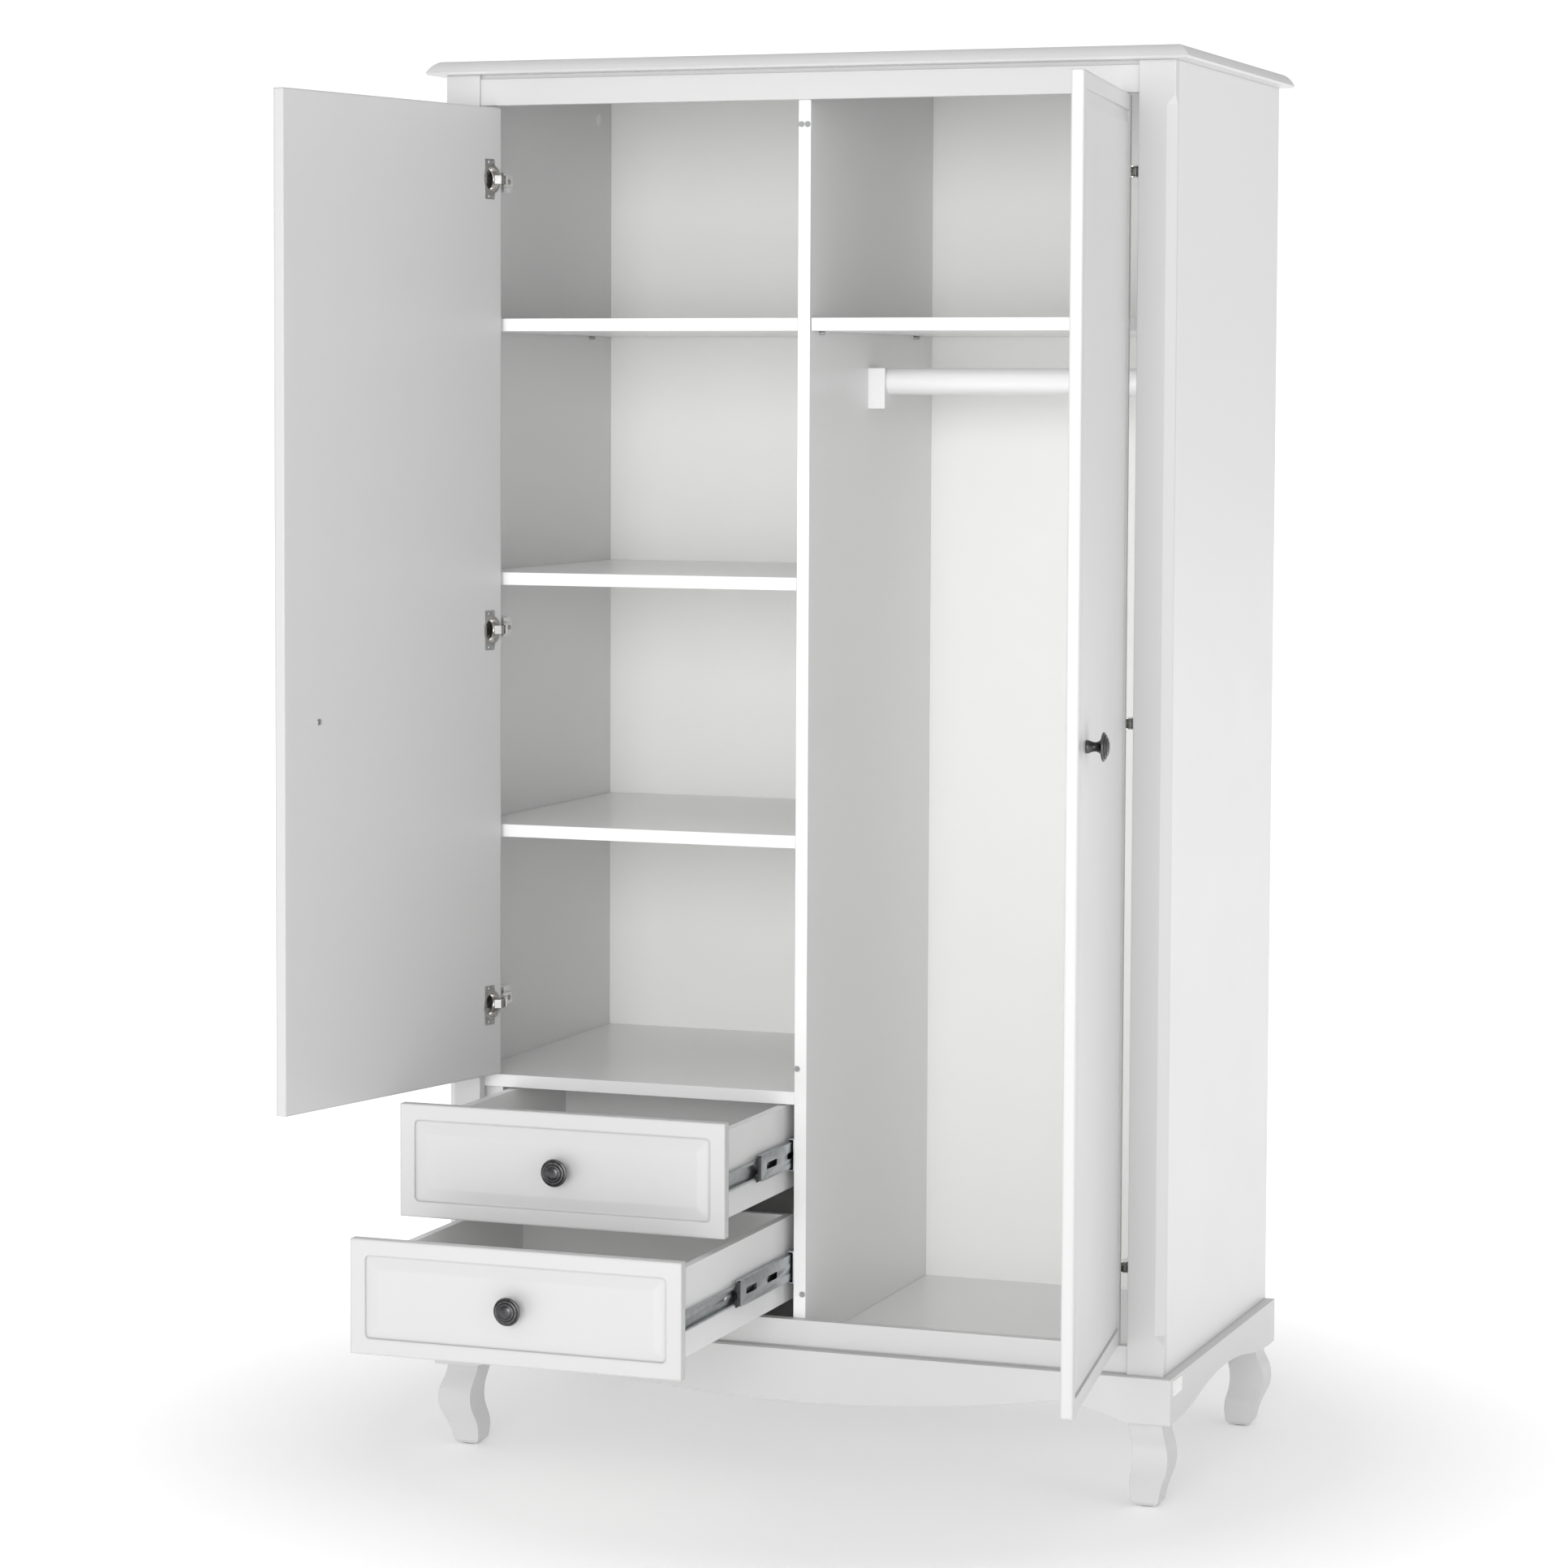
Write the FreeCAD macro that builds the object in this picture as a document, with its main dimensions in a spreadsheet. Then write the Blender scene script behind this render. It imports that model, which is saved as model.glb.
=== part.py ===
import FreeCAD, Part
import math
import os
import types
import Sketcher

# A two-door wardrobe on a shaped plinth with four curved legs: shelves above two
# drawers on the left, a shelf and a clothes rail on the right.  Millimetres.
# X runs to the right, Y to the back, Z up.  The origin is on the floor, under the
# middle of the carcass.  Doors and drawers are drawn closed and then moved to the
# opening that the sheet gives.

DRIVING = {
    # carcass
    "carcass_width": 1064, "carcass_depth": 576, "total_height": 1980,
    "side_thickness": 22, "board_thickness": 18, "frame_behind_door": 2, "edge_round": 0.8,
    "post_width": 51, "post_chamfer": 12, "chamfer_end": 14, "post_proud": 2,
    "header_height": 37, "header_groove": 6, "groove_recess": 4, "rail_height": 39,
    "rail_groove": 2.5,
    "back_thickness": 4, "back_inset": 17, "panel_groove": 6, "fit_gap": 0.3,
    # top board
    "top_thickness": 19, "top_overhang": 22.5, "top_slope": 16, "top_bulge": 2.2,
    "top_nose": 3, "nose_bevel": 2,
    # plinth and legs
    "leg_height": 120, "plinth_height": 63, "plinth_overhang": 14, "apron_thickness": 18,
    "bottom_thickness": 16, "belly_drop": 10.5, "belly_rise": 34, "shoulder_out": 390,
    "shoulder_run": 92, "shoulder_sag": 3, "arch_rise": 24, "arch_start": 20,
    "rear_apron_height": 40, "corner_block": 44,
    "leg_width": 48, "leg_knee_out": 10, "leg_foot_in": 7.5, "foot_width": 37,
    "rear_leg_set": 10, "glide_radius": 11, "glide_height": 2,
    # shelves, divider and clothes rail
    "shelf_side_gap": 1, "shelf_set_back": 2.5, "support_radius": 2.5, "support_length": 8,
    "support_depth": 8, "support_front": 40, "support_back": 84,
    "clothes_rail_radius": 19, "rail_block_width": 25, "rail_block_depth": 50,
    "rail_block_height": 58, "rail_block_top": 1552, "rail_behind_middle": 4,
    # doors and fronts
    "door_thickness": 16, "door_gap": 3, "door_side_gap": 2.5, "door_centre_gap": 3,
    "front_border": 22, "front_slope": 18, "front_groove": 3, "groove_corner": 6,
    "left_door_open": 103.5, "right_door_open": 98.5,
    "axis_in": 13.3, "axis_ahead": 14,
    # hinges
    "hinge_end": 101, "hinge_middle_drop": 63, "cup_radius": 17.5, "cup_depth": 11.5,
    "cup_in": 22.5, "cup_wall": 1.2, "flange_length": 56, "flange_width": 23,
    "flange_thickness": 1.4, "hinge_screw_in": 4, "hinge_head": 3.6,
    "link_height": 12, "arm_wall": 1.4, "arm_start": 40, "arm_length": 40, "arm_depth": 12,
    "plate_thickness": 3, "plate_start": 30, "plate_length": 54,
    "hinge_block_length": 92, "hinge_block_height": 28,
    # knobs
    "knob_radius": 19, "knob_length": 30, "knob_neck": 5.5, "knob_base": 8.5,
    "knob_in": 72, "knob_height": 1070, "screw_radius": 2, "screw_head": 4.5, "screw_reach": 8,
    "head_height": 1.5,
    # drawers
    "drawer_front_height": 156, "upper_drawer_out": 274, "lower_drawer_out": 432,
    "box_side": 12, "box_height": 120, "box_clearance": 2, "box_length": 470,
    "box_bottom": 4, "box_bottom_up": 10, "packer_in": 23, "packer_board": 18,
    "packer_front": 12, "packer_batten": 40, "runner_length": 450, "runner_height": 45,
    "runner_thickness": 12.7,
    "runner_up": 51, "runner_play": 0.3, "runner_steel": 1.4,
    # cams and wall brackets
    "cam_radius": 7.5, "cam_depth": 12.5, "cam_down": 31, "cam_front": 52, "cam_rear": 53,
    "cam_cover_radius": 8.5, "cam_cover_thickness": 1, "cam_bolt_radius": 3,
    "cam_bolt_in": 11, "bracket_leg": 45, "bracket_width": 30, "bracket_steel": 2,
    "bracket_in": 120, "bracket_hole": 3,
    "bumper_radius": 4, "bumper_height": 1.4, "bumper_in": 30,
}

doc = FreeCAD.newDocument("wardrobe")
sheet = doc.addObject("Spreadsheet::Sheet", "Sizes")
for row, (alias, number) in enumerate(DRIVING.items(), 1):
    sheet.set("A%d" % row, alias)
    sheet.set("B%d" % row, str(number))
    sheet.setAlias("B%d" % row, alias)
doc.recompute()


class Size:
    """A number that keeps the formula over the sheet that gives it."""

    def __init__(self, value, text):
        self.value = value
        self.text = text

    def __add__(self, other):
        return Size(self.value + number_of(other), "(%s + %s)" % (self.text, text_of(other)))

    def __sub__(self, other):
        return Size(self.value - number_of(other), "(%s - %s)" % (self.text, text_of(other)))

    def __mul__(self, other):
        return Size(self.value * number_of(other), "(%s * %s)" % (self.text, text_of(other)))

    def __truediv__(self, other):
        return Size(self.value / number_of(other), "(%s / %s)" % (self.text, text_of(other)))

    def __neg__(self):
        return Size(-self.value, "(0 - %s)" % self.text)

    def __radd__(self, other):
        return as_size(other) + self

    def __rsub__(self, other):
        return as_size(other) - self

    def __rmul__(self, other):
        return as_size(other) * self


def as_size(value):
    return value if isinstance(value, Size) else Size(float(value), "(%.10g)" % value)


def number_of(value):
    return as_size(value).value


def text_of(value):
    return as_size(value).text


def square_root(size):
    return Size(math.sqrt(size.value), "sqrt(%s)" % size.text)


def cosine(angle):
    return Size(math.cos(math.radians(angle.value)), "cos(%s * 1 deg)" % angle.text)


def sine(angle):
    return Size(math.sin(math.radians(angle.value)), "sin(%s * 1 deg)" % angle.text)


s = types.SimpleNamespace(**{
    alias: Size(float(sheet.get(alias)), "Sizes.%s" % alias) for alias in DRIVING})

# ---------------------------------------------------------------- shared places
half_width = s.carcass_width / 2
face = -(s.carcass_depth / 2)
rear = s.carcass_depth / 2
frame_face = face + s.post_proud
frame_back = face + s.door_thickness + s.frame_behind_door
inner_side = half_width - s.side_thickness
opening = half_width - s.post_width
half_board = s.board_thickness / 2
plinth_top = s.leg_height + s.plinth_height
top_under = s.total_height - s.top_thickness
header_low = top_under - s.header_groove - s.header_height
rail_top = plinth_top + s.rail_height
back_front = rear - s.back_inset
apron_side = half_width + s.plinth_overhang
apron_face = face - s.plinth_overhang
door_top = header_low - s.door_gap
right_door_low = rail_top + s.door_gap
front_tops = [rail_top + s.door_gap + s.drawer_front_height]
front_tops.append(front_tops[0] + s.door_gap + s.drawer_front_height)
drawer_shelf_top = front_tops[1]
left_door_low = front_tops[1] + s.door_gap
door_hinge_edge = opening - s.door_side_gap
door_free_edge = s.door_centre_gap / 2
shelf_pitch = (top_under - drawer_shelf_top + s.board_thickness) / 4
shelf_tops = [drawer_shelf_top + shelf_pitch * step for step in (1, 2, 3)]
packer_face = opening - s.packer_in
zero = as_size(0)

# --------------------------------------------------------------- drawing helpers
# Each origin plane with the sign of its normal along the remaining axis.
NORMALS = {"XY_Plane": 1, "XZ_Plane": -1, "YZ_Plane": 1}
nodes = []


def make_body(label):
    body = doc.addObject("PartDesign::Body", label)
    body.Label = label
    body.AllowCompound = True
    nodes.append(body)
    return body


def low_high(first, second):
    if number_of(first) <= number_of(second):
        return as_size(first), as_size(second)
    return as_size(second), as_size(first)


def new_sketch(body, plane, level):
    sketch = body.newObject("Sketcher::SketchObject", body.Name + "_sketch")
    origin = [item for item in body.Origin.OriginFeatures if item.Role == plane][0]
    sketch.AttachmentSupport = [(origin, "")]
    sketch.MapMode = "FlatFace"
    sketch.setExpression("AttachmentOffset.Base.z", text_of(level * NORMALS[plane]))
    return sketch


def bind(sketch, kind, references, size):
    index = sketch.addConstraint(Sketcher.Constraint(kind, *references, number_of(size)))
    sketch.setExpression("Constraints[%d]" % index, text_of(size))


def pin_point(sketch, geometry, position, x, y):
    bind(sketch, "DistanceX", (-1, 1, geometry, position), x)
    bind(sketch, "DistanceY", (-1, 1, geometry, position), y)


def vector(x, y):
    return FreeCAD.Vector(number_of(x), number_of(y), 0)


def draw_outline(sketch, corners):
    """Closed outline through corners (x, y) or (x, y, sag), a sag bowing the edge
    that leaves the corner to its left."""
    count = len(corners)
    edges = []
    for index, corner in enumerate(corners):
        start = vector(corner[0], corner[1])
        following = corners[(index + 1) % count]
        end = vector(following[0], following[1])
        if len(corner) == 2:
            edges.append((sketch.addGeometry(Part.LineSegment(start, end)), 1, 2))
            continue
        chord = end - start
        left = FreeCAD.Vector(-chord.y, chord.x, 0).normalize()
        middle = (start + end) * 0.5 + left * number_of(corner[2])
        arc = sketch.addGeometry(Part.Arc(start, middle, end))
        forward = (sketch.getPoint(arc, 1) - start).Length < (sketch.getPoint(arc, 2) - start).Length
        edges.append((arc, 1, 2) if forward else (arc, 2, 1))
    for index, corner in enumerate(corners):
        edge, first, last = edges[index]
        following = edges[(index + 1) % count]
        sketch.addConstraint(Sketcher.Constraint("Coincident", edge, last, following[0], following[1]))
        pin_point(sketch, edge, first, corner[0], corner[1])
    for index, corner in enumerate(corners):
        if len(corner) == 3:
            following = corners[(index + 1) % count]
            across = following[0] - corner[0]
            along = following[1] - corner[1]
            sag = corner[2] if number_of(corner[2]) > 0 else -as_size(corner[2])
            radius = (across * across / 4 + along * along / 4 + sag * sag) / (sag * 2)
            bind(sketch, "Radius", (edges[index][0],), radius)


def draw_box(sketch, x0, x1, y0, y1):
    x0, x1 = low_high(x0, x1)
    y0, y1 = low_high(y0, y1)
    draw_outline(sketch, [(x0, y0), (x1, y0), (x1, y1), (x0, y1)])


def draw_rounded(sketch, x0, x1, y0, y1, radius):
    x0, x1 = low_high(x0, x1)
    y0, y1 = low_high(y0, y1)
    # An arc over a quarter turn rises by this much from its chord.
    sag = radius * -(1 - math.sqrt(0.5))
    draw_outline(sketch, [
        (x0 + radius, y0), (x1 - radius, y0, sag), (x1, y0 + radius), (x1, y1 - radius, sag),
        (x1 - radius, y1), (x0 + radius, y1, sag), (x0, y1 - radius), (x0, y0 + radius, sag)])


def draw_circle(sketch, x, y, radius):
    circle = sketch.addGeometry(Part.Circle(vector(x, y), FreeCAD.Vector(0, 0, 1), number_of(radius)))
    pin_point(sketch, circle, 3, x, y)
    bind(sketch, "Radius", (circle,), radius)


def extrude(body, plane, low, high, draw, *measures, cut=False):
    """Add (or cut) a drawing between two levels along its plane's axis."""
    low, high = low_high(low, high)
    along = NORMALS[plane] > 0
    sketch = new_sketch(body, plane, low if along != cut else high)
    draw(sketch, *measures)
    doc.recompute()
    before = body.Tip.Shape.Volume if cut else 0
    kind = "Pocket" if cut else "Pad"
    feature = body.newObject("PartDesign::" + kind, body.Name + "_" + kind.lower())
    feature.Profile = sketch
    feature.setExpression("Length", text_of(high - low))
    doc.recompute()
    assert not cut or feature.Shape.Volume < before, body.Label


def add_block(body, x0, x1, y0, y1, z0, z1):
    extrude(body, "XY_Plane", z0, z1, draw_box, x0, x1, y0, y1)


def cut_block(body, x0, x1, y0, y1, z0, z1):
    extrude(body, "XY_Plane", z0, z1, draw_box, x0, x1, y0, y1, cut=True)


def loft(body, plane, sections, cut=False):
    """Straight-sided loft through drawings at several levels of one plane."""
    sketches = []
    for level, draw, *measures in sections:
        sketches.append(new_sketch(body, plane, level))
        draw(sketches[-1], *measures)
    kind = "SubtractiveLoft" if cut else "AdditiveLoft"
    feature = body.newObject("PartDesign::" + kind, body.Name + "_loft")
    feature.Profile = sketches[0]
    feature.Sections = sketches[1:]
    feature.Ruled = True
    doc.recompute()


def ease(body):
    """Round every edge a little, as a lacquered or foil-wrapped board has it."""
    doc.recompute()
    base = body.Tip
    fillet = body.newObject("PartDesign::Fillet", body.Name + "_eased")
    fillet.Base = (base, ["Edge1"])
    fillet.UseAllEdges = True
    fillet.setExpression("Radius", text_of(s.edge_round))
    doc.recompute()


def add_rod(body, plane, low, high, x, y, radius):
    extrude(body, plane, low, high, draw_circle, x, y, radius)


def cut_rod(body, plane, low, high, x, y, radius):
    extrude(body, plane, low, high, draw_circle, x, y, radius, cut=True)


def board(label, x0, x1, y0, y1, z0, z1):
    body = make_body(label)
    add_block(body, x0, x1, y0, y1, z0, z1)
    ease(body)
    return body


# ------------------------------------------------------------------------ motion
def swing(body, hinge_side, angle):
    """Turn a closed door piece about its upright hinge axis."""
    axis_x = (opening - s.axis_in) * hinge_side
    axis_y = face + s.door_thickness - s.axis_ahead
    turn = angle * hinge_side
    body.setExpression("Placement.Rotation.Angle", text_of(turn) + " * 1 deg")
    body.setExpression("Placement.Base.x",
                       text_of(axis_x - axis_x * cosine(turn) + axis_y * sine(turn)))
    body.setExpression("Placement.Base.y",
                       text_of(axis_y - axis_x * sine(turn) - axis_y * cosine(turn)))


def slide(body, distance):
    body.setExpression("Placement.Base.y", text_of(-distance))


# --------------------------------------------------------------------- top board
# The moulded edge runs round the front and both sides: a flat underside, a narrow
# nose at the tip, then a bulging slope up to the flat top.
tip_side = half_width + s.top_overhang
tip_face = face - s.top_overhang
nose_level = top_under + s.top_nose
top = make_body("top_board")
extrude(top, "YZ_Plane", -tip_side, tip_side, draw_outline, [
    (rear, top_under), (rear, s.total_height),
    (tip_face + s.top_slope, s.total_height, -s.top_bulge), (tip_face, nose_level),
    (tip_face + s.nose_bevel, top_under)])
for side in (-1, 1):
    beyond = (tip_side + 1) * side
    slope_start = (tip_side - s.top_slope) * side
    bevel_end = (tip_side - s.nose_bevel) * side
    extrude(top, "XZ_Plane", tip_face - 1, rear + 1, draw_outline, [
        (slope_start, s.total_height, s.top_bulge * side), (tip_side * side, nose_level),
        (bevel_end, top_under), (bevel_end, top_under - 1), (beyond, top_under - 1),
        (beyond, s.total_height + 1), (slope_start, s.total_height + 1)], cut=True)

# ------------------------------------------------------------ sides, posts, rails
support_places = [frame_back + s.support_front, back_front - s.support_back]
cam_places = [frame_back + s.cam_front, back_front - s.cam_rear]
cam_level = top_under - s.cam_down
bolt_across = inner_side + s.cam_bolt_in
left_levels = [level - s.board_thickness - s.support_radius for level in shelf_tops]
right_levels = left_levels[-1:]

for side, name, levels in ((-1, "left", left_levels), (1, "right", right_levels)):
    panel = board(name + "_side_panel", inner_side * side, half_width * side,
                  frame_back, rear, plinth_top, top_under)
    cut_block(panel, inner_side * side - side, (inner_side + s.panel_groove) * side,
              back_front, back_front + s.back_thickness + s.fit_gap, plinth_top - 1, top_under + 1)
    for level in levels:
        for place in support_places:
            cut_rod(panel, "YZ_Plane", inner_side * side - side,
                    (inner_side + s.support_depth) * side, place, level, s.support_radius)
    for place in cam_places:
        cut_rod(panel, "YZ_Plane", inner_side * side - side, (inner_side + s.cam_depth) * side,
                place, cam_level, s.cam_radius)
        cut_rod(panel, "XY_Plane", cam_level, top_under + 1, bolt_across * side, place,
                s.cam_bolt_radius)
        cut_rod(top, "XY_Plane", top_under - 1, top_under + s.cam_bolt_in, bolt_across * side,
                place, s.cam_bolt_radius)

    # The chamfer on the outer front corner of the post stops short of both rails.
    post = board(name + "_front_post", opening * side, half_width * side,
                 face, frame_back, plinth_top, top_under)

    def draw_corner(sketch, depth):
        corner_x = (half_width + 1) * side
        corner_y = face - 1
        draw_outline(sketch, [(corner_x, corner_y), (corner_x - (depth + 2) * side, corner_y),
                              (corner_x, corner_y + depth + 2)])

    low_stop = rail_top + s.door_gap
    high_stop = header_low - s.door_gap
    outside = as_size(-0.5)
    loft(post, "XY_Plane", [(low_stop, draw_corner, outside),
                            (low_stop + s.chamfer_end, draw_corner, s.post_chamfer),
                            (high_stop - s.chamfer_end, draw_corner, s.post_chamfer),
                            (high_stop, draw_corner, outside)], cut=True)

header = board("header_rail", -opening, opening, frame_face, frame_back, header_low, top_under)
cut_block(header, -opening - 1, opening + 1, frame_face - 1, frame_face + s.groove_recess,
          top_under - s.header_groove, top_under + 1)
low_rail = board("bottom_rail", -opening, opening, frame_face, frame_back, plinth_top, rail_top)
cut_block(low_rail, -opening - 1, opening + 1, frame_face - 1, frame_face + s.groove_recess,
          plinth_top - 1, plinth_top + s.rail_groove)

divider = board("centre_divider", -half_board, half_board, frame_back, back_front,
                plinth_top, top_under)
for side, levels in ((-1, left_levels), (1, right_levels)):
    for level in levels:
        for place in support_places:
            cut_rod(divider, "YZ_Plane", half_board * side + side,
                    (half_board - s.support_depth) * side, place, level, s.support_radius)

board("bottom_panel", -(apron_side - s.apron_thickness), apron_side - s.apron_thickness,
      apron_face + s.apron_thickness, rear, plinth_top - s.bottom_thickness, plinth_top)
back_half = inner_side + s.panel_groove - s.fit_gap
back_panel = make_body("back_panel")
add_block(back_panel, -back_half, back_half, back_front, back_front + s.back_thickness,
          plinth_top, top_under)

# ----------------------------------------------------------- shelves and supports
# The shelves stand back from the swing of the doors' inner edges.
shelf_front = frame_back + s.shelf_set_back
shelf_back = back_front - s.shelf_side_gap
shelf_out = inner_side - s.shelf_side_gap
shelf_in = half_board + s.shelf_side_gap
for name, level in zip(("lower", "middle", "upper"), shelf_tops):
    board(name + "_left_shelf", -shelf_out, -shelf_in, shelf_front, shelf_back,
          level - s.board_thickness, level)
board("right_shelf", shelf_in, shelf_out, shelf_front, shelf_back,
      shelf_tops[-1] - s.board_thickness, shelf_tops[-1])
board("drawer_top_shelf", -inner_side, -half_board, frame_back, back_front,
      drawer_shelf_top - s.board_thickness, drawer_shelf_top)

supports = make_body("shelf_supports")
for side, levels in ((-1, left_levels), (1, right_levels)):
    for level in levels:
        for place in support_places:
            add_rod(supports, "YZ_Plane", (inner_side - s.support_length) * side,
                    (inner_side + s.support_depth) * side, place, level, s.support_radius)
            add_rod(supports, "YZ_Plane", (half_board + s.support_length) * side,
                    (half_board - s.support_depth) * side, place, level, s.support_radius)

# The clothes rail drops into two open-topped blocks, its top level with theirs.
rail_level = s.rail_block_top - s.clothes_rail_radius
hanging = make_body("clothes_rail")
add_rod(hanging, "YZ_Plane", half_board + s.shelf_side_gap, inner_side - s.shelf_side_gap,
        s.rail_behind_middle, rail_level, s.clothes_rail_radius)
blocks = make_body("rail_blocks")
notch_front = s.rail_behind_middle - s.clothes_rail_radius
notch_rear = s.rail_behind_middle + s.clothes_rail_radius
for start in (half_board, inner_side - s.rail_block_width):
    add_block(blocks, start, start + s.rail_block_width,
              s.rail_behind_middle - s.rail_block_depth / 2,
              s.rail_behind_middle + s.rail_block_depth / 2,
              s.rail_block_top - s.rail_block_height, s.rail_block_top)
for start in (half_board, inner_side - s.rail_block_width):
    end = start + s.rail_block_width
    cut_rod(blocks, "YZ_Plane", start - 1, end + 1, s.rail_behind_middle, rail_level,
            s.clothes_rail_radius)
    cut_block(blocks, start - 1, end + 1, notch_front, notch_rear, rail_level,
              s.rail_block_top + 1)

# ------------------------------------------------------------------------- plinth
# The front apron has a long belly between two peaks, each with a rounded shoulder
# down to the corner; the side aprons rise in a shallow ogee arch.
belly_low = s.leg_height - s.belly_drop
peak = belly_low + s.belly_rise
shoulder_end = s.shoulder_out + s.shoulder_run
front_apron = make_body("front_apron")
extrude(front_apron, "XZ_Plane", apron_face, apron_face + s.apron_thickness, draw_outline, [
    (-apron_side, s.leg_height), (-shoulder_end, s.leg_height, s.shoulder_sag),
    (-s.shoulder_out, peak, -s.belly_rise), (s.shoulder_out, peak, s.shoulder_sag),
    (shoulder_end, s.leg_height), (apron_side, s.leg_height), (apron_side, plinth_top),
    (-apron_side, plinth_top)])
ease(front_apron)

arch_low = apron_face + s.arch_start
arch_high = rear - s.arch_start
arch_middle = (arch_low + arch_high) / 2
half_rise = s.arch_rise / 2
arc_sag = s.arch_rise / 8
for side, name in ((-1, "left"), (1, "right")):
    apron = make_body(name + "_apron")
    extrude(apron, "YZ_Plane", (apron_side - s.apron_thickness) * side, apron_side * side,
            draw_outline, [
                (apron_face + s.apron_thickness, s.leg_height), (arch_low, s.leg_height, -arc_sag),
                ((arch_low + arch_middle) / 2, s.leg_height + half_rise, arc_sag),
                (arch_middle, s.leg_height + s.arch_rise, arc_sag),
                ((arch_middle + arch_high) / 2, s.leg_height + half_rise, -arc_sag),
                (arch_high, s.leg_height), (rear, s.leg_height), (rear, plinth_top),
                (apron_face + s.apron_thickness, plinth_top)])
    ease(apron)
block_top = plinth_top - s.bottom_thickness
apron_inner = apron_side - s.apron_thickness
board("rear_apron", -apron_inner, apron_inner, rear - s.apron_thickness, rear,
      block_top - s.rear_apron_height, block_top)
corner_blocks = make_body("plinth_corner_blocks")
for side in (-1, 1):
    for start in (apron_face + s.apron_thickness, rear - s.apron_thickness - s.corner_block):
        add_block(corner_blocks, apron_inner * side, (apron_inner - s.corner_block) * side,
                  start, start + s.corner_block, s.leg_height, block_top)


# --------------------------------------------------------------------------- legs
def leg_profile():
    """Outline of the curved leg, outwards from its outer top corner, as a face in
    the XZ plane: knee out, ankle in, rounded foot."""
    high = s.leg_height.value
    low = s.glide_height.value
    tall = high - low
    knee = s.leg_knee_out.value
    foot = -s.leg_foot_in.value
    width = s.leg_width.value
    inner_foot = foot - s.foot_width.value
    outer = [(0, 1), (0.28 * knee, 0.84), (0.8 * knee, 0.72), (knee, 0.59), (0.85 * knee, 0.46),
             (0.4 * knee, 0.36), (0.3 * foot, 0.23), (0.75 * foot, 0.12), (foot, 0.04)]
    inner = [(inner_foot, 0.04), (inner_foot - 0.04 * width, 0.18), (inner_foot - 0.02 * width, 0.31),
             (0.65 * knee - width, 0.45), (0.8 * knee - width, 0.6), (0.6 * knee - width, 0.76),
             (0.26 * knee - width, 0.88), (-width, 1)]

    def curve(points):
        spline = Part.BSplineCurve()
        spline.interpolate([FreeCAD.Vector(x, 0, low + tall * part) for x, part in points])
        return spline.toShape()

    def point(x, part):
        return FreeCAD.Vector(x, 0, low + tall * part)

    toe = 0.04 * tall
    sole = Part.makeLine(point(foot - toe, 0), point(inner_foot + toe, 0))
    outer_toe = Part.makeLine(point(foot, 0.04), point(foot - toe, 0))
    inner_toe = Part.makeLine(point(inner_foot + toe, 0), point(inner_foot, 0.04))
    head = Part.makeLine(point(-width, 1), point(0, 1))
    return Part.Face(Part.Wire([curve(outer), outer_toe, sole, inner_toe, curve(inner), head]))


def leg_shape():
    """The same outline cut from the front and from the side of one square blank."""
    width = s.leg_width.value * 3
    front_cut = leg_profile()
    front_cut.translate(FreeCAD.Vector(0, -width / 2, 0))
    front_cut = front_cut.extrude(FreeCAD.Vector(0, width, 0))
    side_cut = leg_profile()
    side_cut.rotate(FreeCAD.Vector(), FreeCAD.Vector(0, 0, 1), 90)
    side_cut.translate(FreeCAD.Vector(-width / 2, 0, 0))
    side_cut = side_cut.extrude(FreeCAD.Vector(width, 0, 0))
    return front_cut.common(side_cut)


front_corner = face
rear_corner = rear - s.rear_leg_set
glide_in = s.leg_foot_in + s.foot_width / 2
glides = make_body("foot_glides")
for side, across in ((-1, "left"), (1, "right")):
    for back, along, corner in ((-1, "front", front_corner), (1, "rear", rear_corner)):
        shape = leg_shape()
        if side < 0:
            shape = shape.mirror(FreeCAD.Vector(), FreeCAD.Vector(1, 0, 0))
        if back < 0:
            shape = shape.mirror(FreeCAD.Vector(), FreeCAD.Vector(0, 1, 0))
        leg = doc.addObject("Part::Feature", along + "_" + across + "_leg")
        leg.Label = along + "_" + across + "_leg"
        leg.Shape = Part.Solid(shape.Solids[0])
        leg.setExpression("Placement.Base.x", text_of(half_width * side))
        leg.setExpression("Placement.Base.y", text_of(corner))
        nodes.append(leg)
        add_rod(glides, "XY_Plane", zero, s.glide_height, (half_width - glide_in) * side,
                corner - glide_in * back, s.glide_radius)

# --------------------------------------------------------------------------- cams
cams = make_body("cam_fittings")
covers = make_body("cam_covers")
for side in (-1, 1):
    for place in cam_places:
        add_rod(cams, "YZ_Plane", inner_side * side, (inner_side + s.cam_depth) * side,
                place, cam_level, s.cam_radius)
        add_rod(cams, "XY_Plane", cam_level, top_under + s.cam_bolt_in, bolt_across * side,
                place, s.cam_bolt_radius)
        add_rod(covers, "YZ_Plane", (inner_side - s.cam_cover_thickness) * side,
                inner_side * side, place, cam_level, s.cam_cover_radius)

brackets = make_body("wall_brackets")
for side in (-1, 1):
    start = (inner_side - s.bracket_in) * side
    low, high = low_high(start, start - s.bracket_width * side)
    add_block(brackets, low, high, rear - s.bracket_steel, rear,
              top_under - s.bracket_leg, top_under)
    add_block(brackets, low, high, back_front + s.back_thickness + 1, rear,
              top_under - s.bracket_steel, top_under)
    cut_rod(brackets, "XZ_Plane", rear - s.bracket_steel - 1, rear + 1, (low + high) / 2,
            top_under - s.bracket_leg * 0.7, s.bracket_hole)

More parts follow.
